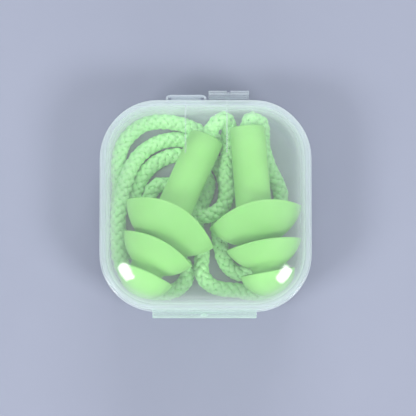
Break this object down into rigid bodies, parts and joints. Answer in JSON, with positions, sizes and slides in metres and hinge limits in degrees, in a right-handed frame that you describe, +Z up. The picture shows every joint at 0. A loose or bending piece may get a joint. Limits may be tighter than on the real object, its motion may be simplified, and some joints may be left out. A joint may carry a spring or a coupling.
{
  "type": "corded ear plugs in case",
  "caption": "Corded triple-flange silicone ear plugs with a braided cord, lying coiled in a small square translucent case with a hinged snap lid.",
  "frame": {"origin": "on the underside of the base, below the middle of the rim, where the case rests", "axes": "+Z up through the lid, +Y towards the hinge, +X towards the right plug"},
  "size_m": [0.03, 0.0322, 0.0166],
  "materials": {
    "case_clear": "thin translucent polypropylene, gloss outside with a faint haze",
    "plug_silicone": "soft moulded silicone, satin, light green",
    "cord_braid": "round braid of polyester yarn, light green",
    "cord_melt": "yarn melted to a hard end"
  },
  "bodies": {
    "base": {"case_base": "case_clear", "plug_left": "plug_silicone", "plug_right": "plug_silicone", "cord_run": "cord_braid", "cord_end_left": "cord_melt", "cord_end_right": "cord_melt"},
    "lid": {"case_lid": "case_clear"}
  },
  "joints": [
    {"name": "lid_hinge", "type": "hinge", "parent": "base", "child": "lid", "pos_m": [0.00025, 0.0156, 0.0095], "axis": [-1, 0, 0], "range_deg": [0, 180]}
  ]
}
